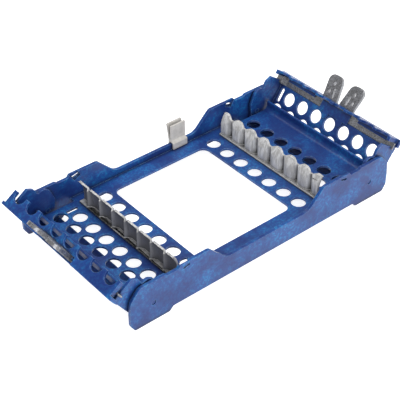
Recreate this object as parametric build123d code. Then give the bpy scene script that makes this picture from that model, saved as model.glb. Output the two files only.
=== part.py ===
"""Dental instrument cassette: a moulded tray with two hinged, latching end lids.

Millimetres. X runs along the length, Y across it, Z up. The origin is at mid length and mid
width, on the surface that the feet stand on. Both lids are drawn open, with their latch bars
drawn in, which is how every joint stands at zero.
"""
from build123d import *
import math
import os

# ---------------------------------------------------------------- driving dimensions
# Side walls
FRAME_WIDTH = 110.4         # over the outer faces of the walls
WALL = 2.2                  # wall thickness
WALL_END = 102.1            # from mid length to each end of the walls
WALL_TOP = 29.9             # rim height at the crests beside the low stretch
WALL_SHOULDER = 29.0        # rim height over the hinges
WALL_DIP = 27.9             # rim height in the shallow dips beside the hinges
DIP_START = 66.5            # from mid length to the near end of each dip
DIP_LENGTH = 10.5
DIP_SLOPE = 1.5
WALL_LOW = 17.1             # rim height of the low middle stretch
LOW_HALF = 32.5             # half length of the low stretch
WALL_TOE = 4.6              # height at which the wall's ends start to slope in to the feet
WALL_SHOULDER_INSET = 7.0   # from a wall's end to where its rim starts to fall
WALL_SLOPE_RISE = 4.5       # from the low stretch's height to the end of that fall
WALL_FOOT = 2.8             # height of the wall's lower edge between the feet
FOOT_INNER = 74.8           # from mid length to the inner end of each foot
FOOT_LENGTH = 24.4

# Floor
FLOOR_TOP = 12.7
FLOOR = 1.6
FLOOR_CENTRE = -5.8         # the floor's pattern is centred short of mid length
WINDOW_HALF_LENGTH = 36.9
WINDOW_HALF_WIDTH = 41.7
WINDOW_CORNER = 5.0
HOLE = 9.3                  # diameter of the drain holes
HOLE_PITCH = 13.5
HOLE_ROW = 44.2             # row beside the window, from the floor's centre
STAGGER_ROW = 67.8          # staggered row behind the rails
LEFT_END_ROW = -83.2        # rows at the hinges, from mid length
RIGHT_END_ROW = 73.6
SLOT_LENGTH = 8.3
SLOT_WIDTH = 2.2
SLOT_INSET = 9.5            # from a wall's inner face to a slot's far side
FLOOR_RISE = 5.4            # of the floor's turned-up ends, over the hinge axis
NOTCH_START = 67.6          # where the gaps for the cheeks begin, from mid length
NOTCH_DEPTH = 4.0           # of those gaps, from the wall's inner face
COVE_GAP = 2.0              # between a turned-up end and the lid's curved back
COVE_BEND = 4.8             # outer radius of that turn
COVE_EDGE = 0.6             # radius of its free edge

# Comb rails
RAIL_PLACE = 56.7           # from the floor's centre
RAIL_LENGTH = 91.8
RAIL_HEIGHT = 16.0
RAIL_PITCH = 12.5
RAIL_TAB_COUNT = 8
RAIL_BASE = 6.4
RAIL_BASE_HEIGHT = 1.2
RAIL_WEB = 1.6              # thickness in the grooves and at the tabs' tops
RAIL_BULGE = 3.6            # how far each tab swells towards the window
BELLY_HEIGHT = 0.35         # where a tab swells most, in shares of the rail's height
TAB_FOOT = 0.75             # swell at a tab's foot, in shares of the bulge
RAIL_INSET = 0.3            # from the base's edge to the rail's back
RAIL_SCALLOP = 3.2          # depth of the valleys between the tabs
STEM = 3.0                  # diameter of the stems that hold a rail to the floor
STEM_PITCH = 37.5

# Hinges
HINGE_X = 85.7
HINGE_Z = 13.5
PIN = 3.0                   # diameter of the hinge pins
PIN_RECESS = 0.4            # from a wall's outer face to the pin's end
PIN_LOBE = 3.8              # depth of the cheek behind the pin, from its axis
PIN_FIT = 0.05              # radial clearance in the lid
OPEN_ANGLE = 112.0

# Lids, in a frame tilted to the panel: s runs from the hinge to the free edge, n outward
# from the panel's inner face, q = n + SHELL_INNER from the hinge axis
PANEL_TILT = 12.4           # of the closed panel, rising inboard
SHELL_INNER = 11.3          # radius of the curved back, inside
SHELL = 1.8
SHELL_LIP = 185.0           # angle at which the curved back ends
FREE_EDGE = 31.3
CHEEK = 2.0
CHEEK_FRONT = 25.4          # where the cheeks end towards the free edge
CHEEK_DROP = 7.8            # how deep a shut cheek hangs into the floor's gap, from the axis
CHEEK_REACH = 16.4          # how far that lobe reaches inboard
CHEEK_HEEL = 1.0            # step of the lobe below the pin's depth, at its inboard end
CHEEK_NOSE = 4.5            # height at which a cheek's front slopes back to the panel
CHEEK_NOSE_BACK = 4.0       # from a cheek's front to the start of that slope
CHEEK_GAP = 0.5             # running gap between a cheek and a wall
BAND_START = 21.5           # the thicker band that houses the bars
BAND = 2.2
LID_HOLE_ROW = 16.0
LID_EDGE_ROW = 5.2
LID_HOLE_PITCH = 12.9
LID_SLOT_LENGTH = 9.8
LID_SLOT_WIDTH = 2.8
LID_SLOT_PLACE = 47.1       # from the middle of the width
KEEPER = 2.8                # width of the ledges that the bars slide on
KEEPER_HEIGHT = 1.0
LIP_START = 26.0            # where the free edge begins to stand out over the cheeks
LIP = 1.9                   # how far it stands out
FLANGE = 1.7
FLANGE_DEPTH = 9.3          # below the panel's inner face
EAR = 3.0                   # length of the thicker ends of the flange, along the panel
COMB_NOTCH = 9.7
COMB_NOTCH_DEPTH = 5.8
COMB_NOTCH_COUNT = 8

# Latches
BAR = 0.8                   # sheet thickness of the bars
BAR_WIDTH = 5.5
BAR_MIDDLE = 26.0
BAR_REST = 0.1              # height of the bar's lower face over the panel's inner face
TIP_WIDTH = 4.4
TIP_DROP = 3.6              # joggle that brings the tip down to the wall's window
JOGGLE = 2.1                # how far across the width the joggle runs
JOGGLE_SHIFT = 0.4          # of the sheet's upper bend lines against the lower ones
JOGGLE_INSET = 3.7          # from a cheek's inner face to where the joggle starts
TIP_REACH = 1.3             # how far the drawn-in tip stands out of the cheek
LATCH_TRAVEL = 1.1
LATCH_GAP = 0.1             # running gap around the sliding sheets
SWEEP_BEFORE = 4            # degrees of the tip's way cut into the wall, past its shut place
SWEEP_AFTER = 30            # degrees of that way before its shut place
SWEEP_GAP = 0.3             # play of the tip on that way, along the panel
SWEEP_DEPTH = 1.5           # of the cutter that clears that way
WINDOW_GAP = 0.25           # play of the tip in the wall's window
LEVER = 2.4                 # thickness of the levers
LEVER_INNER = 1.3
LEVER_WIDTH = 12.4
LEVER_LENGTH = 18.4
LEVER_SPLAY = 2.9
LEVER_LAP = 2.2             # how far a lever's root lies on its bar
LEVER_KNEE = 0.3            # from the free edge to where a lever splays
LEVER_TAPER = 0.6           # how much narrower a lever's end is
GRIP_SLOT = 3.0             # short slots beside each other
GRIP_SLOT_WIDTH = 1.6
LONG_SLOT = 6.8
LONG_SLOT_WIDTH = 1.5
LONG_SLOT_TURN = 8          # degrees
RIVET = 1.4
COVER = 0.6
COVER_HALF_WIDTH = 13.0
COVER_LAP = 1.5             # how far the cover reaches past the bars
COVER_CORNER = 0.8
COVER_GAP = 0.3             # from the cover to the levers
PEG_PLACE = 4.4             # from the panel's row of drain holes
PEG = 1.8                   # diameter of the pegs that hold the cover in the panel
PEG_FIT = 0.05
SPRING_WIRE = 0.5
SPRING_HALF = 6.7
SPRING_GAP = 0.3
SPRING_LEG_COUNT = 7
SPRING_PLAY = 0.4           # from the spring to the channel's middle
SPRING_CLEAR = 0.15         # above and below the spring, between panel and cover

# Strip clip on the far wall
CLIP_X = 18.9
CLIP_WIDTH = 11.8
CLIP_SHEET = 1.3
CLIP_TOP = 30.2
CLIP_GAP = 0.3
CLIP_BRIDGE = 1.6           # thickness of the bridge over the rim
CLIP_LEAN = 2.2             # of the outer blade
CLIP_GRIP = 6.0             # how far the outer leg reaches down the wall
CLIP_MOUTH = 1.9            # from the wall's inner face to the slit for the strip
CLIP_STEP = 0.4             # of the outer blade's root, towards the slit
CLIP_CHAMFER = 1.4          # of the bridge's inner edge

# ---------------------------------------------------------------- derived sizes
WALL_OUT = FRAME_WIDTH / 2
WALL_IN = WALL_OUT - WALL
CHEEK_OUT = WALL_IN - CHEEK_GAP
CHEEK_IN = CHEEK_OUT - CHEEK
SHELL_OUTER = SHELL_INNER + SHELL
TIP_END = CHEEK_OUT + TIP_REACH + 0.1
TIP_N = BAR_REST - TIP_DROP
LEVER_ROOT = FREE_EDGE - LEVER_LAP


def both_sides(shape):
    """The shape and its mirror image across the middle of the width."""
    return shape + mirror(shape, about=Plane.XZ)


def block(x0, x1, y0, y1, z0, z1):
    """A box between two corners."""
    return Pos((x0 + x1) / 2, (y0 + y1) / 2, (z0 + z1) / 2) * Box(x1 - x0, y1 - y0, z1 - z0)


def side_plate(points, radii, y0, y1):
    """A plate across Y with a rounded outline given in X and Z."""
    outline = FilletPolyline(*[(x, z) for x, z in points], radius=radii, close=True)
    face = Plane.XZ * make_face(outline)
    return Pos(0, y1, 0) * extrude(face, amount=y1 - y0)


def tilt(s, q):
    """Where a point of the lid's tilted frame lies, seen from the hinge: (inboard, up)."""
    angle = math.radians(PANEL_TILT)
    return s * math.cos(angle) - q * math.sin(angle), s * math.sin(angle) + q * math.cos(angle)


def on_panel(shape):
    """Brings a shape drawn in (s, y, n) to the closed left lid, hinge at the origin."""
    return Rot(0, -PANEL_TILT, 0) * Pos(0, 0, SHELL_INNER) * shape


def hole_places(pitch, count):
    """Evenly spaced places, centred on zero."""
    return [pitch * (i - (count - 1) / 2) for i in range(count)]


# ---------------------------------------------------------------- frame
def wall_outline():
    """The wall's outline as corner points (x, z), each with its fillet radius."""
    foot_outer = FOOT_INNER + FOOT_LENGTH
    half = [
        ((LOW_HALF, WALL_LOW), 9.0),
        ((LOW_HALF + WALL_TOP - WALL_LOW, WALL_TOP), 4.0),
        ((DIP_START, WALL_TOP), 1.0),
        ((DIP_START + DIP_SLOPE, WALL_DIP), 1.0),
        ((DIP_START + DIP_LENGTH - DIP_SLOPE, WALL_DIP), 1.0),
        ((DIP_START + DIP_LENGTH, WALL_SHOULDER), 1.0),
        ((WALL_END - WALL_SHOULDER_INSET, WALL_SHOULDER), 4.0),
        ((WALL_END - 0.8, WALL_LOW + WALL_SLOPE_RISE), 6.0),
        ((WALL_END, FLOOR_TOP), 8.0),
        ((WALL_END, WALL_TOE), 3.0),
        ((foot_outer, 0), 2.0),
        ((FOOT_INNER, 0), 1.0),
        ((FOOT_INNER - WALL_FOOT, WALL_FOOT), 1.0),
    ]
    return half + [((-x, z), r) for (x, z), r in reversed(half)]


def wall():
    """The wall on the +Y side."""
    outline = wall_outline()
    plate = side_plate([p for p, r in outline], [r for p, r in outline], WALL_IN, WALL_OUT)
    for side in (-1, 1):
        plate -= Pos(side * HINGE_X, WALL_IN - 1, HINGE_Z) * Rot(-90, 0, 0) * Cylinder(
            PIN / 2, 2 * WALL + 2, align=(Align.CENTER, Align.CENTER, Align.MIN))
        plate -= mirror_if(side, latch_window())
    return plate


def mirror_if(side, shape):
    """The shape on the left, or its mirror image on the right."""
    return shape if side < 0 else mirror(shape, about=Plane.YZ)


def latch_window():
    """The slot that a bar's tip enters when the left lid is shut, and its way down to it."""
    width = TIP_WIDTH + 2 * WINDOW_GAP
    slot = block(BAR_MIDDLE - width / 2, BAR_MIDDLE + width / 2, WALL_IN - 1, WALL_OUT + 1,
                 TIP_N - WINDOW_GAP, TIP_N + BAR + WINDOW_GAP)
    slot = Pos(-HINGE_X, 0, HINGE_Z) * on_panel(slot)
    u, w = tilt(BAR_MIDDLE, SHELL_INNER + TIP_N + BAR / 2)
    reach = math.hypot(u, w)
    closed = math.degrees(math.atan2(w, u))
    half = width / 2 + SWEEP_GAP
    ring = Cylinder(reach + half, SWEEP_DEPTH) - Cylinder(reach - half, SWEEP_DEPTH)
    quarter = Box(4 * reach, 4 * reach, 2 * SWEEP_DEPTH)
    ring &= Rot(0, 0, closed - SWEEP_BEFORE) * Pos(2 * reach, 2 * reach, 0) * quarter
    ring &= Rot(0, 0, closed + SWEEP_AFTER) * Pos(2 * reach, -2 * reach, 0) * quarter
    place = TIP_END + 2 * LATCH_GAP - SWEEP_DEPTH / 2
    return slot + Pos(-HINGE_X, place, HINGE_Z) * Rot(90, 0, 0) * ring


def floor_end():
    """The floor's edge behind a lid's curved back: a cove turned up, for the left end."""
    outer = SHELL_INNER - COVE_GAP
    rise = HINGE_Z + FLOOR_RISE - FLOOR_TOP
    half = WALL_IN - NOTCH_DEPTH
    bottom = FLOOR_TOP - FLOOR
    pts = [(-HINGE_X, FLOOR_TOP), (-HINGE_X, bottom), (-HINGE_X - outer, bottom),
           (-HINGE_X - outer, FLOOR_TOP + rise), (-HINGE_X - outer + FLOOR, FLOOR_TOP + rise),
           (-HINGE_X - outer + FLOOR, FLOOR_TOP)]
    return side_plate(pts, [0, 0, COVE_BEND, COVE_EDGE, COVE_EDGE, COVE_BEND - FLOOR], -half, half)


def floor():
    """The flat floor with its window, drain holes and slots."""
    top = FLOOR_TOP
    plate = block(-HINGE_X, HINGE_X, -WALL_IN, WALL_IN, top - FLOOR, top)
    plate += floor_end() + mirror(floor_end(), about=Plane.YZ)
    for side in (-1, 1):
        for edge in (-1, 1):
            plate -= Pos(side * (NOTCH_START + WALL_END) / 2, edge * WALL_IN, top) * Box(
                WALL_END - NOTCH_START, 2 * NOTCH_DEPTH, 4 * FLOOR)
    window = Rectangle(2 * WINDOW_HALF_LENGTH, 2 * WINDOW_HALF_WIDTH)
    window = fillet(window.vertices(), WINDOW_CORNER)
    plate -= Pos(FLOOR_CENTRE, 0, top - 2 * FLOOR) * extrude(window, amount=3 * FLOOR)
    rows = [(FLOOR_CENTRE - HOLE_ROW, 7), (FLOOR_CENTRE + HOLE_ROW, 7),
            (FLOOR_CENTRE - STAGGER_ROW, 6), (FLOOR_CENTRE + STAGGER_ROW, 6),
            (LEFT_END_ROW, 7), (RIGHT_END_ROW, 7)]
    places = [(x, y) for x, count in rows for y in hole_places(HOLE_PITCH, count)]
    drains = Sketch() + [Pos(x, y) * Circle(HOLE / 2) for x, y in places]
    slot_y = WALL_IN - SLOT_INSET - SLOT_WIDTH / 2
    drains += [Pos(FLOOR_CENTRE + side * STAGGER_ROW, edge * slot_y)
               * SlotOverall(SLOT_LENGTH, SLOT_WIDTH)
               for side in (-1, 1) for edge in (-1, 1)]
    drains += [Pos(FLOOR_CENTRE + side * RAIL_PLACE, y) * Circle(STEM / 2)
               for side in (-1, 1) for y in hole_places(STEM_PITCH, 3)]
    return plate - Pos(0, 0, top - 2 * FLOOR) * extrude(drains, amount=3 * FLOOR)


def make_frame():
    """The tray: two side walls and the floor between them, one moulding."""
    return floor() + both_sides(wall())


# ---------------------------------------------------------------- comb rails
def make_rail(side):
    """A comb rail: a flat back with a row of leaf-shaped tabs that swell towards the window."""
    places = hole_places(RAIL_PITCH, RAIL_TAB_COUNT)
    half = RAIL_PITCH / 2
    back = -RAIL_BASE / 2 + RAIL_INSET
    bulge = (half ** 2 + RAIL_BULGE ** 2) / (2 * RAIL_BULGE)
    crown = (half ** 2 + RAIL_SCALLOP ** 2) / (2 * RAIL_SCALLOP)
    low = RAIL_HEIGHT - RAIL_SCALLOP
    plan = Pos(back + RAIL_WEB / 2, 0) * Rectangle(RAIL_WEB, RAIL_LENGTH)
    front = Pos(0, low / 2) * Rectangle(RAIL_LENGTH, low)
    for y in places:
        swell = Pos(back + RAIL_WEB + RAIL_BULGE - bulge, y) * Circle(bulge)
        plan += swell & (Pos(back + RAIL_PITCH, y) * Rectangle(2 * RAIL_PITCH, RAIL_PITCH))
        front += (Pos(y, RAIL_HEIGHT - crown) * Circle(crown)
                  & Pos(y, RAIL_HEIGHT / 2) * Rectangle(RAIL_PITCH, RAIL_HEIGHT))
    plan &= Rectangle(4 * RAIL_BASE, RAIL_LENGTH)
    crest = (back + RAIL_WEB, RAIL_HEIGHT)
    belly = (back + RAIL_WEB + RAIL_BULGE, BELLY_HEIGHT * RAIL_HEIGHT)
    foot = (back + RAIL_WEB + TAB_FOOT * RAIL_BULGE, 0)
    leaf = make_face(ThreePointArc(crest, belly, foot)
                     + Polyline(foot, (back, 0), (back, RAIL_HEIGHT), crest))
    rail = extrude(plan, amount=RAIL_HEIGHT)
    rail &= extrude(Plane.YZ * front, amount=2 * RAIL_BASE, both=True)
    rail &= extrude(Plane.XZ * leaf, amount=RAIL_LENGTH, both=True)
    rail -= Pos(-RAIL_WEB, 0, 0) * rail
    rail += Pos(0, 0, RAIL_BASE_HEIGHT / 2) * Box(RAIL_BASE, RAIL_LENGTH, RAIL_BASE_HEIGHT)
    for y in hole_places(STEM_PITCH, 3):
        rail += Pos(0, y, -FLOOR / 2) * Cylinder(STEM / 2, FLOOR)
    if side > 0:
        rail = mirror(rail, about=Plane.YZ)
    return Pos(FLOOR_CENTRE + side * RAIL_PLACE, 0, FLOOR_TOP) * rail


# ---------------------------------------------------------------- lids
def lid_skin():
    """Panel, thicker band and curved back: everything that runs across."""
    back = CenterArc((0, 0), SHELL_OUTER, 90, SHELL_LIP - 90)
    inner = CenterArc((0, 0), SHELL_INNER, 90, SHELL_LIP - 90)
    outline = back + inner + Line(back @ 1, inner @ 1) + Line(back @ 0, inner @ 0)
    curve = extrude(Plane.XZ * make_face(outline), amount=CHEEK_OUT, both=True)
    skin = Pos(0, 0, -SHELL_INNER) * curve
    skin += block(0, FREE_EDGE, -CHEEK_OUT, CHEEK_OUT, 0, SHELL)
    skin += block(BAND_START, FREE_EDGE, -CHEEK_OUT, CHEEK_OUT, 0, BAND)
    skin += block(LIP_START, FREE_EDGE, -CHEEK_OUT - LIP, CHEEK_OUT + LIP, 0, BAND)
    return skin


def lid_flange():
    """The comb that hangs from the free edge, with an ear at each end."""
    sheet = block(FREE_EDGE - FLANGE, FREE_EDGE, -CHEEK_OUT, CHEEK_OUT, -FLANGE_DEPTH, 0)
    crown = COMB_NOTCH_DEPTH - COMB_NOTCH / 2 - FLANGE_DEPTH
    for y in hole_places(LID_HOLE_PITCH, COMB_NOTCH_COUNT):
        notch = block(FREE_EDGE - 2 * FLANGE, FREE_EDGE + FLANGE, y - COMB_NOTCH / 2,
                      y + COMB_NOTCH / 2, -2 * FLANGE_DEPTH, crown)
        notch += Pos(FREE_EDGE, y, crown) * Rot(0, 90, 0) * Cylinder(COMB_NOTCH / 2, 4 * FLANGE)
        sheet -= notch
    ear = block(FREE_EDGE - EAR, FREE_EDGE, CHEEK_IN, CHEEK_OUT, -FLANGE_DEPTH, 0)
    return sheet + both_sides(ear)


def lid_cheek():
    """The side plate that turns on the hinge pin, on the +Y side, with a lobe below the floor."""
    over_floor = FLOOR_TOP - HINGE_Z + CHEEK_GAP
    far = 3 * SHELL_OUTER
    outline = [
        ((-far, -PIN_LOBE), 0),
        ((-PIN_LOBE, -PIN_LOBE), 1.5),
        ((PIN_LOBE, -CHEEK_DROP), 4),
        ((CHEEK_REACH - PIN_LOBE, -CHEEK_DROP), 4),
        ((CHEEK_REACH, -PIN_LOBE - CHEEK_HEEL), 3),
        ((CHEEK_REACH, over_floor), 1),
        ((CHEEK_FRONT - CHEEK_NOSE_BACK, over_floor), 4),
        ((CHEEK_FRONT + 1, CHEEK_NOSE), 4),
        ((far, far), 0),
        ((-far, far), 0),
    ]
    mask = make_face(FilletPolyline(*[p for p, r in outline], radius=[r for p, r in outline],
                                    close=True))
    arm = Pos(CHEEK_FRONT / 2, 0) * Rectangle(CHEEK_FRONT, 2 * SHELL_OUTER)
    body = Rot(0, 0, PANEL_TILT) * (Circle(SHELL_OUTER) + arm)
    plate = extrude(Plane.XZ * (body & mask), amount=CHEEK)
    return Pos(0, CHEEK_OUT, 0) * plate


def lid_openings():
    """Drain holes and slots of the panel, cut square to it."""
    places = [(LID_HOLE_ROW, y) for y in hole_places(LID_HOLE_PITCH, 7)]
    places += [(LID_EDGE_ROW, y) for y in hole_places(LID_HOLE_PITCH, 8)]
    drains = Sketch() + [Pos(s, y) * Circle(HOLE / 2) for s, y in places]
    drains += [Pos(LID_HOLE_ROW, side * LID_SLOT_PLACE) * SlotOverall(LID_SLOT_LENGTH, LID_SLOT_WIDTH)
               for side in (-1, 1)]
    drains += [Pos(s, y) * Circle(PEG / 2 + PEG_FIT) for s, y in peg_places()]
    return Pos(0, 0, -SHELL) * extrude(drains, amount=4 * SHELL)


def latch_room():
    """The channel that the bars slide in, the levers' way out and the slots for the tips."""
    half = BAR_WIDTH / 2 + WINDOW_GAP
    ceiling = BAR_REST + BAR + LATCH_GAP
    reach = LEVER_INNER + LEVER_WIDTH + LATCH_TRAVEL + 2.0
    channel = block(BAR_MIDDLE - half, BAR_MIDDLE + half, -CHEEK_IN, CHEEK_IN, -0.001, ceiling)
    pocket = block(BAR_MIDDLE - half, 2 * FREE_EDGE, -reach, reach, -0.001, ceiling)
    pocket += block(FREE_EDGE - 2 * FLANGE, 2 * FREE_EDGE, -reach, reach,
                    BAR_REST - LEVER - WINDOW_GAP, ceiling)
    pocket += block(LEVER_ROOT, 2 * FREE_EDGE, -reach, reach, 0, 2 * BAND)
    tip = TIP_WIDTH / 2 + WINDOW_GAP
    slot = block(BAR_MIDDLE - tip, BAR_MIDDLE + tip, CHEEK_IN - 1, CHEEK_OUT + 1,
                 TIP_N - WINDOW_GAP, TIP_N + BAR + WINDOW_GAP)
    return channel + pocket + both_sides(slot)


def lid_keeper():
    """The ledge along the flange that a bar slides on, on the +Y side."""
    start = LEVER_INNER + LEVER_WIDTH + LEVER_SPLAY + 3 * LATCH_TRAVEL
    end = CHEEK_IN - JOGGLE_INSET - LATCH_TRAVEL - WINDOW_GAP
    edge = FREE_EDGE - FLANGE
    return block(edge - KEEPER, edge, start, end, -KEEPER_HEIGHT, 0)


def make_lid():
    """One lid, shut, with its hinge axis at the origin and its free edge towards +X."""
    lid = on_panel(lid_skin() + lid_flange()) + both_sides(lid_cheek())
    lid -= on_panel(lid_openings() + latch_room())
    lid += on_panel(both_sides(lid_keeper()))
    bore = PIN / 2 + PIN_FIT
    return lid - Rot(90, 0, 0) * Cylinder(bore, 2 * FRAME_WIDTH)


def make_pin():
    """A plain hinge pin on the +Y side, from the cheek's inner face into the wall."""
    shank = Cylinder(PIN / 2, WALL_OUT - PIN_RECESS - CHEEK_IN,
                     align=(Align.CENTER, Align.CENTER, Align.MIN))
    return Pos(0, CHEEK_IN, 0) * Rot(-90, 0, 0) * shank


# ---------------------------------------------------------------- latches
def peg_places():
    """Where the cover's two pegs stand, as (s, y), between the drain holes."""
    return [(LID_HOLE_ROW + PEG_PLACE, y) for y in hole_places(LID_HOLE_PITCH, 2)]


def rivet_places():
    """Where the two rivets join a lever to its bar, as (s, y), on the +Y side."""
    middle = LEVER_INNER + LEVER_WIDTH / 2
    return [(LEVER_ROOT + LEVER_LAP / 2, middle + d) for d in (-LEVER_WIDTH / 4, LEVER_WIDTH / 4)]


def rivets():
    """Two cylinders through a bar and its lever, flush with both."""
    return [Pos(s, y, BAR_REST - LEVER) * Cylinder(RIVET / 2, LEVER + BAR,
                                                   align=(Align.CENTER, Align.CENTER, Align.MIN))
            for s, y in rivet_places()]


def make_bar():
    """A latch bar of sheet, joggled down to its tip, on the +Y side."""
    shoulder = SPRING_HALF + SPRING_GAP
    low, tip_low = BAR_REST, TIP_N
    bend = CHEEK_IN - JOGGLE_INSET
    down = bend + JOGGLE
    section = Polyline((LEVER_INNER, low), (bend, low), (down, tip_low), (TIP_END, tip_low),
                       (TIP_END, tip_low + BAR), (down + JOGGLE_SHIFT, tip_low + BAR),
                       (bend + JOGGLE_SHIFT, low + BAR), (LEVER_INNER, low + BAR), close=True)
    sheet = extrude(Plane.YZ * make_face(section), amount=BAR_WIDTH / 2, both=True)
    bar = Pos(BAR_MIDDLE, 0, 0) * sheet
    bar -= block(0, BAR_MIDDLE, 0, shoulder, -1, 2)
    for side in (-1, 1):
        trim = (TIP_WIDTH / 2 + BAR_WIDTH) * side
        bar -= Pos(BAR_MIDDLE + trim, down + FRAME_WIDTH / 2, TIP_N) * Box(
            2 * BAR_WIDTH, FRAME_WIDTH, 4 * BAR)
    bar += block(BAR_MIDDLE, LEVER_ROOT + LEVER_LAP, LEVER_INNER, LEVER_INNER + LEVER_WIDTH,
                 BAR_REST, BAR_REST + BAR)
    for rivet in rivets():
        bar -= rivet
    return on_panel(bar)


def make_lever():
    """A finger lever: a splayed, round-ended tab riveted under its bar, on the +Y side."""
    knee = FREE_EDGE + LEVER_KNEE
    end = LEVER_ROOT + LEVER_LENGTH
    inner = LEVER_INNER
    outer = LEVER_INNER + LEVER_WIDTH
    outline = FilletPolyline((LEVER_ROOT, inner), (knee, inner), (end, inner + LEVER_SPLAY),
                             (end, outer + LEVER_SPLAY - LEVER_TAPER), (knee, outer),
                             (LEVER_ROOT, outer), radius=[0.5, 8, 5, 4.5, 8, 0.5], close=True)
    plan = make_face(outline)
    for s, y in ((4.2, 3.2), (10.0, 4.6)):
        plan -= Pos(knee + s, outer - y) * SlotOverall(GRIP_SLOT, GRIP_SLOT_WIDTH)
    long_slot = SlotOverall(LONG_SLOT, LONG_SLOT_WIDTH)
    plan -= Pos(knee + 4.2, inner + 5.0) * Rot(0, 0, LONG_SLOT_TURN) * long_slot
    plan -= [Pos(s, y) * Circle(RIVET / 2) for s, y in rivet_places()]
    return on_panel(Pos(0, 0, BAR_REST - LEVER) * extrude(plan, amount=LEVER))


def make_rivets():
    """The two flush rivets of one lever."""
    return on_panel(Compound(children=rivets()))


def make_cover():
    """The plate that closes the pocket of bars and levers from inside, held by two pegs."""
    start = BAR_MIDDLE - BAR_WIDTH / 2 - COVER_LAP
    end = LEVER_ROOT - COVER_GAP
    plate = Pos((start + end) / 2, 0) * RectangleRounded(
        end - start, 2 * COVER_HALF_WIDTH, COVER_CORNER)
    pegs = []
    for s, y in peg_places():
        plate += Pos(s, y) * Circle(PEG + 1.5 * COVER)
        pegs.append(Pos(s, y, -COVER) * Cylinder(PEG / 2, COVER + SHELL,
                                                 align=(Align.CENTER, Align.CENTER, Align.MIN)))
    return on_panel(Pos(0, 0, -COVER) * extrude(plate, amount=COVER) + pegs)


def make_spring():
    """A flat serpentine spring between the bars' shoulders."""
    legs = SPRING_LEG_COUNT
    pitch = (2 * SPRING_HALF - SPRING_WIRE) / (legs - 1)
    low = BAR_MIDDLE - BAR_WIDTH / 2 + SPRING_GAP
    high = BAR_MIDDLE - SPRING_PLAY
    wire = Sketch()
    for i, y in enumerate(hole_places(pitch, legs)):
        wire += Pos((low + high) / 2, y) * Rectangle(high - low, SPRING_WIRE)
        if i < legs - 1:
            turn = high if i % 2 else low
            inward = -1 if i % 2 else 1
            wire += Pos(turn + inward * SPRING_WIRE / 2, y + pitch / 2) * Rectangle(SPRING_WIRE, pitch)
    return on_panel(Pos(0, 0, BAR_REST + SPRING_CLEAR) * extrude(wire, amount=BAR - 2 * SPRING_CLEAR))


# ---------------------------------------------------------------- strip clip
def make_clip():
    """A spring clip that straddles the far wall's low stretch and holds a strip upright."""
    inner = WALL_IN - CLIP_GAP
    outer = WALL_OUT + CLIP_GAP
    sheet = CLIP_SHEET
    seat = WALL_LOW + CLIP_GAP
    bridge = seat + CLIP_BRIDGE
    grip = WALL_LOW - CLIP_GRIP
    slit = WALL_IN + CLIP_MOUTH
    points = [(inner - sheet, FLOOR_TOP + CLIP_GAP), (inner, FLOOR_TOP + CLIP_GAP), (inner, seat),
              (outer, seat), (outer, grip), (outer + sheet, grip), (outer + sheet, bridge),
              (outer + sheet + CLIP_LEAN, CLIP_TOP), (outer + CLIP_LEAN, CLIP_TOP),
              (outer - CLIP_STEP, bridge), (slit, bridge), (slit, CLIP_TOP),
              (slit - sheet, CLIP_TOP), (slit - sheet, bridge),
              (inner - sheet, bridge - CLIP_CHAMFER)]
    section = make_face(Polyline(*points, close=True))
    return Pos(CLIP_X, 0, 0) * extrude(Plane.YZ * section, amount=CLIP_WIDTH / 2, both=True)


# ---------------------------------------------------------------- the assembly
def open_left(shape):
    """Brings a piece of the shut left lid, hinge at the origin, to its open place."""
    return Pos(-HINGE_X, 0, HINGE_Z) * Rot(0, -OPEN_ANGLE, 0) * shape


def open_right(shape):
    """The same piece on the right lid, which is the left lid turned end for end."""
    return Rot(0, 0, 180) * open_left(shape)


def flip(shape):
    """The shape's mirror image on the -Y side."""
    return mirror(shape, about=Plane.XZ)


def all_parts():
    """Every node by name."""
    parts = {"frame": make_frame(), "wall_clip": make_clip()}
    parts["rail_left"] = make_rail(-1)
    parts["rail_right"] = make_rail(1)
    whole = {"lid": make_lid(), "latch_cover": make_cover(), "latch_spring": make_spring()}
    paired = {"latch_bar": make_bar(), "finger_lever": make_lever(), "lever_rivets": make_rivets()}
    for end, place in (("left", open_left), ("right", open_right)):
        for name, shape in whole.items():
            parts[f"{name}_{end}"] = place(shape)
        for name, shape in paired.items():
            flipped = flip(shape)
            far, near = (shape, flipped) if end == "left" else (flipped, shape)
            parts[f"{name}_{end}_far"] = place(far)
            parts[f"{name}_{end}_near"] = place(near)
    pin = make_pin()
    for end, x in (("left", -HINGE_X), ("right", HINGE_X)):
        parts[f"hinge_pin_{end}_far"] = Pos(x, 0, HINGE_Z) * pin
        parts[f"hinge_pin_{end}_near"] = Pos(x, 0, HINGE_Z) * flip(pin)
    return parts


os.makedirs("parts", exist_ok=True)
for node, solid in all_parts().items():
    export_step(solid, f"parts/{node}.step")
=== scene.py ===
"""Looks of a dental instrument cassette: finishes, soft edges, floor, light and camera.

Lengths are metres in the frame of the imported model: +X runs to the right lid, +Y to the
wall that carries the strip clip, and the table is at z = 0. Angles are in degrees.
"""
import math

import bpy
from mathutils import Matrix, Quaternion, Vector

MM = 0.001

# ---------------------------------------------------------------- camera, lamps and table
CAMERA_PLACE = (-0.3547, -0.4218, 0.4446)
CAMERA_AZIMUTH = -39.50
CAMERA_ELEVATION = 38.32
CAMERA_ROLL = -0.17
FOCAL_PIXELS = 1124.52
FRAME_PIXELS = 400
SENSOR = 36.0               # sensor width, millimetres

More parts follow.
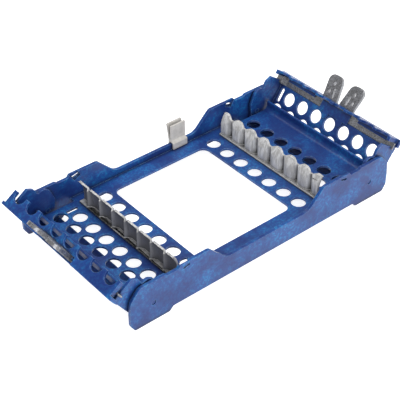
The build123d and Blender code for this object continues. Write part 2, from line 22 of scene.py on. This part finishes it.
LAMP_TARGET = (0.0, 0.0, 0.02)
LAMPS = (                   # name, place, side, watts
    ("key_lamp", (-1.0, -1.2, 1.1), 1.2, 17),
    ("top_lamp", (0.2, 0.3, 1.6), 1.4, 15),
    ("right_lamp", (1.3, -0.9, 0.8), 0.8, 8),
)
FLOOR_HALF = 6.0
FLOOR_SINK = 0.1 * MM       # keeps the table just under the feet
FLOOR_WHITE = (0.8, 0.8, 0.8, 1)
FLOOR_GLOW = 0.80           # added where the table is seen, so that it looks white
SKY_LOW = 0.05              # height on the unit sphere where the sky starts to dim
SKY_HIGH = 0.55             # and where it is at its dimmest
SKY_DIM = 0.30

# ---------------------------------------------------------------- colours
# The fold and shade blues are painted shade for corners, folds and faces near walls; the edge blue
# is a painted highlight.
BLUE_FOLD_SHADE = (0.006, 0.012, 0.055, 1)
BLUE_SHADE = (0.014, 0.028, 0.140, 1)
BLUE_DEEP = (0.008, 0.034, 0.195, 1)
BLUE_MAIN = (0.012, 0.072, 0.310, 1)
BLUE_BRIGHT = (0.014, 0.270, 0.600, 1)
BLUE_EDGE_HIGHLIGHT = (0.260, 0.500, 0.840, 1)
# The comb's back and fold grays are painted shade, the pale gray is painted highlight in slanting
# streaks, and the edge gray is a painted highlight on the rims.
COMB_BACK_SHADE = (0.150, 0.150, 0.160, 1)
COMB_FOLD_SHADE = (0.020, 0.020, 0.024, 1)
COMB_MAIN = (0.430, 0.425, 0.420, 1)
COMB_STREAK_HIGHLIGHT = (0.680, 0.680, 0.680, 1)
COMB_EDGE_HIGHLIGHT = (0.880, 0.880, 0.860, 1)
# The clip's fold colour is painted shade and its edge colour a painted highlight.
CLIP_FOLD_SHADE = (0.100, 0.095, 0.090, 1)
CLIP_DARK = (0.500, 0.480, 0.450, 1)
CLIP_MAIN = (0.660, 0.635, 0.600, 1)
CLIP_EDGE_HIGHLIGHT = (0.720, 0.690, 0.650, 1)
STEEL_DARK = (0.130, 0.128, 0.128, 1)
STEEL_MAIN = (0.480, 0.490, 0.530, 1)
# Painted highlight along steel edges, on the sheet and on the pins alike.
STEEL_EDGE_HIGHLIGHT = (0.700, 0.700, 0.700, 1)
PIN_DARK = (0.160, 0.162, 0.170, 1)
PIN_MAIN = (0.340, 0.345, 0.360, 1)

# ---------------------------------------------------------------- patterns and surfaces
BLUE_IOR = 1.47
BLUE_CLOUD = 20 * MM
BLUE_MOTTLE = 1.8 * MM
BLUE_GRAIN = 0.35 * MM
BLUE_SHADE_REACH = 16 * MM  # how far off a wall still dims a face
BLUE_FOLD_REACH = 3 * MM    # how far off it makes a dark corner
COMB_STREAK = 1.8 * MM
COMB_STREAK_STRETCH = 0.2   # the streaks are five times as long as wide
COMB_STREAK_SLANT = -28
COMB_SPECK = 0.8 * MM
COMB_FOLD_REACH = 5 * MM
CLIP_CLOUD = 4 * MM
CLIP_GRAIN = 0.4 * MM
CLIP_FOLD_REACH = 3 * MM
STEEL_METAL = 0.75
STEEL_CLOUD = 6 * MM
STEEL_FLECK = 0.9 * MM
PIN_FLECK = 0.5 * MM

EDGE_SAMPLES = 6
EDGE_FLAT = 0.995           # cosine above which a face counts as open
OPENNESS_SAMPLES = 8

# ---------------------------------------------------------------- meshes
WELD_DISTANCE = 0.002 * MM
FLAT_ANGLE = 0.5            # faces that meet flatter than this are joined
BEVEL_ANGLE = 35            # edges sharper than this are rounded
BEVEL_SEGMENTS = 2


# ---------------------------------------------------------------- shader nodes

class Shader:
    """One node material, with short calls for the nodes that the finishes share."""

    def __init__(self, name):
        self.material = bpy.data.materials.new(name)
        self.material.use_nodes = True
        self.tree = self.material.node_tree
        self.surface = self.tree.nodes["Principled BSDF"]
        self.coordinates = self.add("ShaderNodeTexCoord").outputs
        self.place = self.coordinates["Object"]

    def add(self, kind):
        return self.tree.nodes.new(kind)

    def join(self, source, target):
        self.tree.links.new(source, target)

    def stretched(self, x, y, z, slant):
        """Object coordinates turned about X and scaled by these factors, for streaks."""
        mapping = self.add("ShaderNodeMapping")
        mapping.inputs["Rotation"].default_value = (math.radians(slant), 0.0, 0.0)
        mapping.inputs["Scale"].default_value = (x, y, z)
        self.join(self.place, mapping.inputs["Vector"])
        return mapping.outputs["Vector"]

    def noise(self, feature, detail, roughness, place=None):
        """Noise whose blotches are about this wide."""
        node = self.add("ShaderNodeTexNoise")
        node.inputs["Scale"].default_value = 1.0 / feature
        node.inputs["Detail"].default_value = detail
        node.inputs["Roughness"].default_value = roughness
        self.join(place or self.place, node.inputs["Vector"])
        return node.outputs["Fac"]

    def remap(self, value, low, high, to_low=0.0, to_high=1.0):
        node = self.add("ShaderNodeMapRange")
        node.inputs["From Min"].default_value = low
        node.inputs["From Max"].default_value = high
        node.inputs["To Min"].default_value = to_low
        node.inputs["To Max"].default_value = to_high
        self.join(value, node.inputs["Value"])
        return node.outputs["Result"]

    def blend(self, factor, first, second):
        """A colour between two colours, each a value or a socket."""
        node = self.add("ShaderNodeMix")
        node.data_type = "RGBA"
        self.join(factor, node.inputs[0])
        for socket, colour in ((node.inputs[6], first), (node.inputs[7], second)):
            if isinstance(colour, tuple):
                socket.default_value = colour
            else:
                self.join(colour, socket)
        return node.outputs[2]

    def math(self, operation, *values):
        node = self.add("ShaderNodeMath")
        node.operation = operation
        for value, socket in zip(values, node.inputs):
            self.join(value, socket)
        return node.outputs["Value"]

    def edge_mask(self, radius, sharpness):
        """1 along edges, where the normal averaged over this radius leans away, 0 elsewhere."""
        bevel = self.add("ShaderNodeBevel")
        bevel.samples = EDGE_SAMPLES
        bevel.inputs["Radius"].default_value = radius
        dot = self.add("ShaderNodeVectorMath")
        dot.operation = "DOT_PRODUCT"
        self.join(bevel.outputs["Normal"], dot.inputs[0])
        self.join(self.add("ShaderNodeNewGeometry").outputs["Normal"], dot.inputs[1])
        return self.remap(dot.outputs["Value"], 1.0 - sharpness, EDGE_FLAT, 1.0, 0.0)

    def shade_folds(self, colour, dark, reach, low, high, least=0.0):
        """Painted shade: the colour on open faces, towards dark in corners, holes and folds of
        this reach.
        """
        node = self.add("ShaderNodeAmbientOcclusion")
        node.samples = OPENNESS_SAMPLES
        node.inputs["Distance"].default_value = reach
        return self.blend(self.remap(node.outputs["AO"], low, high, least), dark, colour)

    def outward(self):
        """1 on faces turned away from the middle of the object along X, -1 towards it."""
        along = []
        for name in ("Object", "Normal"):
            split = self.add("ShaderNodeSeparateXYZ")
            self.join(self.coordinates[name], split.inputs["Vector"])
            along.append(split.outputs["X"])
        place, normal = along
        return self.math("MULTIPLY", self.math("SIGN", place), normal)

    def bump(self, height, distance, strength):
        node = self.add("ShaderNodeBump")
        node.inputs["Distance"].default_value = distance
        node.inputs["Strength"].default_value = strength
        self.join(height, node.inputs["Height"])
        self.join(node.outputs["Normal"], self.surface.inputs["Normal"])

    def finish(self, colour, roughness):
        self.join(colour, self.surface.inputs["Base Color"])
        self.join(roughness, self.surface.inputs["Roughness"])
        return self.material


def blue_plastic():
    """Royal blue moulded plastic: cloudy colour, painted shade in its folds, painted highlights on
    its edges.
    """
    shader = Shader("plastic_blue")
    cloud = shader.noise(BLUE_CLOUD, detail=3.0, roughness=0.6)
    mottle = shader.noise(BLUE_MOTTLE, detail=3.0, roughness=0.70)
    grain = shader.noise(BLUE_GRAIN, detail=2.0, roughness=0.5)
    colour = shader.blend(shader.remap(cloud, 0.40, 0.60), BLUE_DEEP, BLUE_MAIN)
    bright = shader.math("MULTIPLY", shader.remap(mottle, 0.45, 0.66, to_high=0.8),
                         shader.remap(cloud, 0.42, 0.66, to_low=0.15, to_high=0.9))
    colour = shader.blend(bright, colour, BLUE_BRIGHT)
    # Painted shade: faces near walls dimmed, and corners, holes and folds darkened.
    colour = shader.shade_folds(colour, BLUE_SHADE, BLUE_SHADE_REACH, 0.30, 0.80, least=0.25)
    colour = shader.shade_folds(colour, BLUE_FOLD_SHADE, BLUE_FOLD_REACH, 0.45, 0.97)
    # Painted highlight: a pale blue along edges, patchy with the mottle.
    edge_highlight = shader.math("MULTIPLY", shader.edge_mask(0.5 * MM, sharpness=0.2),
                       shader.remap(mottle, 0.35, 0.65, to_low=0.25, to_high=0.9))
    colour = shader.blend(edge_highlight, colour, BLUE_EDGE_HIGHLIGHT)
    shader.bump(shader.math("ADD", grain, mottle), 0.03 * MM, strength=0.5)
    shader.surface.inputs["IOR"].default_value = BLUE_IOR
    return shader.finish(colour, shader.remap(mottle, 0.2, 0.8, to_low=0.28, to_high=0.44))


def comb_rubber():
    """Gray soft plastic of the combs: slanting streaks of painted highlight, painted shade on the
    backs and in folds, painted highlights on the rims.
    """
    shader = Shader("comb_gray")
    streak_place = shader.stretched(1.0, 1.0, COMB_STREAK_STRETCH, COMB_STREAK_SLANT)
    streak = shader.noise(COMB_STREAK, detail=2.0, roughness=0.6, place=streak_place)
    speck = shader.noise(COMB_SPECK, detail=3.0, roughness=0.6)
    # Painted highlight: pale slanting streaks, thinned by the specks.
    shade = shader.math("MULTIPLY", shader.remap(streak, 0.42, 0.60),
                        shader.remap(speck, 0.3, 0.6, to_low=0.65))
    colour = shader.blend(shade, COMB_MAIN, COMB_STREAK_HIGHLIGHT)
    # Painted shade: faces turned away from the middle along X, the combs' backs, are darkened.
    colour = shader.blend(shader.remap(shader.outward(), 0.2, 0.8), colour, COMB_BACK_SHADE)
    # Painted shade in folds and hollows.
    colour = shader.shade_folds(colour, COMB_FOLD_SHADE, COMB_FOLD_REACH, 0.35, 0.90)
    # Painted highlight along the rims and edges.
    colour = shader.blend(shader.edge_mask(0.45 * MM, sharpness=0.25), colour, COMB_EDGE_HIGHLIGHT)
    shader.bump(shader.math("ADD", speck, streak), 0.04 * MM, strength=0.5)
    return shader.finish(colour, shader.remap(streak, 0.3, 0.7, to_low=0.26, to_high=0.44))


def clip_plastic():
    """Pale warm gray plastic of the strip clip."""
    shader = Shader("clip_gray")
    cloud = shader.noise(CLIP_CLOUD, detail=3.0, roughness=0.55)
    grain = shader.noise(CLIP_GRAIN, detail=2.0, roughness=0.5)
    colour = shader.blend(shader.remap(cloud, 0.3, 0.7), CLIP_DARK, CLIP_MAIN)
    # Painted shade in folds and corners.
    colour = shader.shade_folds(colour, CLIP_FOLD_SHADE, CLIP_FOLD_REACH, 0.2, 0.8)
    # Painted highlight along edges.
    colour = shader.blend(shader.edge_mask(0.3 * MM, sharpness=0.3), colour, CLIP_EDGE_HIGHLIGHT)
    shader.bump(grain, 0.03 * MM, strength=0.4)
    return shader.finish(colour, shader.remap(cloud, 0.3, 0.7, to_low=0.38, to_high=0.52))


def blasted_steel():
    """Bead-blasted steel sheet: a neutral gray mottle with pale flecks and painted highlights on
    the edges.
    """
    shader = Shader("steel_sheet")
    fleck = shader.noise(STEEL_FLECK, detail=4.0, roughness=0.7)
    cloud = shader.noise(STEEL_CLOUD, detail=3.0, roughness=0.5)
    shade = shader.math("MULTIPLY", shader.remap(fleck, 0.38, 0.62, to_low=0.1),
                        shader.remap(cloud, 0.35, 0.65, to_low=0.55))
    colour = shader.blend(shade, STEEL_DARK, STEEL_MAIN)
    # Painted highlight along edges.
    colour = shader.blend(shader.edge_mask(0.3 * MM, sharpness=0.3), colour, STEEL_EDGE_HIGHLIGHT)
    shader.bump(fleck, 0.07 * MM, strength=0.7)
    shader.surface.inputs["Metallic"].default_value = STEEL_METAL
    return shader.finish(colour, shader.remap(fleck, 0.3, 0.7, to_low=0.26, to_high=0.48))


def turned_steel():
    """Satin steel of rivets and springs."""
    shader = Shader("pin_steel")
    fleck = shader.noise(PIN_FLECK, detail=3.0, roughness=0.6)
    colour = shader.blend(shader.remap(fleck, 0.3, 0.7), PIN_DARK, PIN_MAIN)
    # Painted highlight along edges.
    colour = shader.blend(shader.edge_mask(0.15 * MM, sharpness=0.3), colour, STEEL_EDGE_HIGHLIGHT)
    shader.bump(fleck, 0.02 * MM, strength=0.5)
    shader.surface.inputs["Metallic"].default_value = STEEL_METAL
    return shader.finish(colour, shader.remap(fleck, 0.3, 0.7, to_low=0.40, to_high=0.60))


# ---------------------------------------------------------------- CAD nodes

def soften(piece, width):
    """Rounds the edges of a piece's mesh with modifiers, and shades it by face size."""
    weld = piece.modifiers.new("weld", "WELD")
    weld.merge_threshold = WELD_DISTANCE
    flat = piece.modifiers.new("flat", "DECIMATE")
    flat.decimate_type = "DISSOLVE"
    flat.angle_limit = math.radians(FLAT_ANGLE)
    bevel = piece.modifiers.new("bevel", "BEVEL")
    bevel.width = width
    bevel.segments = BEVEL_SEGMENTS
    bevel.limit_method = "ANGLE"
    bevel.angle_limit = math.radians(BEVEL_ANGLE)
    bevel.use_clamp_overlap = False
    shade = piece.modifiers.new("shade", "WEIGHTED_NORMAL")
    shade.keep_sharp = True


def paint(piece, material):
    piece.data.materials.clear()
    piece.data.materials.append(material)


FINISHES = (                # how the nodes' names start, material, width of the soft edges
    (("frame", "lid_", "latch_cover_", "hinge_pin_"), blue_plastic, 0.18 * MM),
    (("rail_",), comb_rubber, 0.35 * MM),
    (("wall_clip",), clip_plastic, 0.20 * MM),
    (("latch_bar_", "finger_lever_"), blasted_steel, 0.12 * MM),
    (("latch_spring_", "lever_rivets_"), turned_steel, 0.08 * MM),
)


def dress_nodes(nodes):
    for starts, make_material, width in FINISHES:
        material = make_material()
        for name, piece in nodes.items():
            if name.startswith(starts):
                paint(piece, material)
                soften(piece, width)


# ---------------------------------------------------------------- studio

def seen_ray(tree):
    """1 for rays that show the background: camera, glossy and transmission."""
    path = tree.nodes.new("ShaderNodeLightPath")
    total = path.outputs["Is Camera Ray"]
    for name in ("Is Glossy Ray", "Is Transmission Ray"):
        both = tree.nodes.new("ShaderNodeMath")
        both.operation = "MAXIMUM"
        tree.links.new(total, both.inputs[0])
        tree.links.new(path.outputs[name], both.inputs[1])
        total = both.outputs["Value"]
    return total


def floor_material():
    """Plain diffuse white, with a glow added only where the table is seen."""
    material = bpy.data.materials.new("floor_white")
    material.use_nodes = True
    tree = material.node_tree
    tree.nodes.clear()
    table = tree.nodes.new("ShaderNodeBsdfDiffuse")
    table.inputs["Color"].default_value = FLOOR_WHITE
    glow = tree.nodes.new("ShaderNodeEmission")
    glow.inputs["Strength"].default_value = FLOOR_GLOW
    lit = tree.nodes.new("ShaderNodeAddShader")
    mix = tree.nodes.new("ShaderNodeMixShader")
    output = tree.nodes.new("ShaderNodeOutputMaterial")
    tree.links.new(table.outputs[0], lit.inputs[0])
    tree.links.new(glow.outputs[0], lit.inputs[1])
    tree.links.new(seen_ray(tree), mix.inputs[0])
    tree.links.new(table.outputs[0], mix.inputs[1])
    tree.links.new(lit.outputs[0], mix.inputs[2])
    tree.links.new(mix.outputs[0], output.inputs["Surface"])
    return material


def make_floor():
    """White table: it lights the object by bounce, looks white, and keeps the shadow."""
    mesh = bpy.data.meshes.new("floor")
    corners = [(x * FLOOR_HALF, y * FLOOR_HALF, 0)
               for x, y in ((-1, -1), (1, -1), (1, 1), (-1, 1))]
    mesh.from_pydata(corners, [], [(0, 1, 2, 3)])
    mesh.materials.append(floor_material())
    floor = bpy.data.objects.new("floor", mesh)
    bpy.context.scene.collection.objects.link(floor)
    floor.location.z = -FLOOR_SINK


def make_world():
    """White to the camera; to reflections, white at the horizon and dim overhead."""
    world = bpy.data.worlds.new("studio")
    bpy.context.scene.world = world
    world.use_nodes = True
    tree = world.node_tree
    tree.nodes.clear()
    direction = tree.nodes.new("ShaderNodeTexCoord")
    split = tree.nodes.new("ShaderNodeSeparateXYZ")
    height = tree.nodes.new("ShaderNodeMapRange")
    height.inputs["From Min"].default_value = SKY_LOW
    height.inputs["From Max"].default_value = SKY_HIGH
    height.inputs["To Min"].default_value = 1.0
    height.inputs["To Max"].default_value = SKY_DIM
    path = tree.nodes.new("ShaderNodeLightPath")
    strength = tree.nodes.new("ShaderNodeMath")
    strength.operation = "MAXIMUM"
    background = tree.nodes.new("ShaderNodeBackground")
    output = tree.nodes.new("ShaderNodeOutputWorld")
    tree.links.new(direction.outputs["Generated"], split.inputs["Vector"])
    tree.links.new(split.outputs["Z"], height.inputs["Value"])
    tree.links.new(height.outputs["Result"], strength.inputs[0])
    tree.links.new(path.outputs["Is Camera Ray"], strength.inputs[1])
    tree.links.new(strength.outputs["Value"], background.inputs["Strength"])
    tree.links.new(background.outputs["Background"], output.inputs["Surface"])


def add_lamp(name, place, side, watts):
    """A square lamp that looks at the middle of the object."""
    light = bpy.data.lights.new(name, "AREA")
    light.shape = "SQUARE"
    light.size = side
    light.energy = watts
    lamp = bpy.data.objects.new(name, light)
    bpy.context.scene.collection.objects.link(lamp)
    lamp.location = place
    aim = Vector(LAMP_TARGET) - Vector(place)
    lamp.rotation_mode = "QUATERNION"
    lamp.rotation_quaternion = aim.to_track_quat("-Z", "Y")


def make_camera():
    """The camera by its place and three angles, with the lens that a 400 pixel frame needs."""
    azimuth = math.radians(CAMERA_AZIMUTH)
    elevation = math.radians(CAMERA_ELEVATION)
    back = Vector((math.sin(azimuth) * math.cos(elevation),
                   -math.cos(azimuth) * math.cos(elevation),
                   math.sin(elevation)))
    data = bpy.data.cameras.new("camera")
    data.sensor_width = SENSOR
    data.lens = SENSOR * FOCAL_PIXELS / FRAME_PIXELS
    camera = bpy.data.objects.new("camera", data)
    bpy.context.scene.collection.objects.link(camera)
    camera.location = CAMERA_PLACE
    camera.rotation_mode = "QUATERNION"
    roll = Quaternion((0, 0, 1), math.radians(CAMERA_ROLL))
    camera.rotation_quaternion = back.to_track_quat("Z", "Y") @ roll
    bpy.context.scene.camera = camera


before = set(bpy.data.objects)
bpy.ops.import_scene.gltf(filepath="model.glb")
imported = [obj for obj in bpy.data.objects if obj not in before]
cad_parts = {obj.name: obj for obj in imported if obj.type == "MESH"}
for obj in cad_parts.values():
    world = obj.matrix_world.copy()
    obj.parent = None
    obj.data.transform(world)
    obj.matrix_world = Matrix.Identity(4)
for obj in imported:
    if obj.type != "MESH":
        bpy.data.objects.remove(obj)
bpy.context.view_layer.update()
dress_nodes(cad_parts)
make_floor()
make_world()
for lamp in LAMPS:
    add_lamp(*lamp)
make_camera()
bpy.context.scene.view_settings.view_transform = "Standard"
